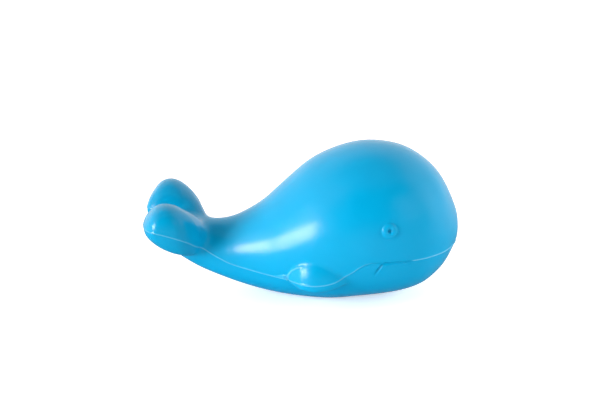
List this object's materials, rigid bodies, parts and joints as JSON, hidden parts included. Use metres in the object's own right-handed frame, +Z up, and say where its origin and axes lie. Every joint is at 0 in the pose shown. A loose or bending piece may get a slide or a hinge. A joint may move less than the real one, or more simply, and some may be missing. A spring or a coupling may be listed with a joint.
{
  "type": "squeaky bath toy",
  "caption": "Soft vinyl whale bath toy with puffy tail flukes, side flippers, moulded eye rings, a flat belly and a reed squeaker in the base.",
  "frame": {"origin": "on the floor at the middle of the bounding box, which is under the middle of the whale's length", "axes": "+X towards the snout, +Z up out of the back, +Y to the whale's left side, so the picture looks along +Y at its right side"},
  "size_m": [0.12, 0.0574, 0.0597],
  "materials": {
    "vinyl": "smooth soft vinyl with a satin gloss",
    "squeaker_plastic": "as moulded",
    "reed_film": "thin springy film"
  },
  "bodies": {
    "lower": {"lower_shell": "vinyl", "squeaker_barrel": "squeaker_plastic", "reed_block": "squeaker_plastic", "reed_wedge": "squeaker_plastic"},
    "upper": {"upper_shell": "vinyl"},
    "reed": {"reed": "reed_film"}
  },
  "joints": [
    {"name": "squeeze", "type": "slide", "parent": "lower", "child": "upper", "axis": [0, 0, -1], "range_m": [0, 0.008], "stiffness_N_per_m": 1500, "springref_m": -0.001, "deforming": ["upper_shell"]},
    {"name": "reed_flex", "type": "hinge", "parent": "lower", "child": "reed", "pos_m": [0.0127, 0, 0.0039], "axis": [0, 1, 0], "range_deg": [-1.5, 4], "stiffness_Nm_per_rad": 0.004, "deforming": ["reed"]}
  ]
}
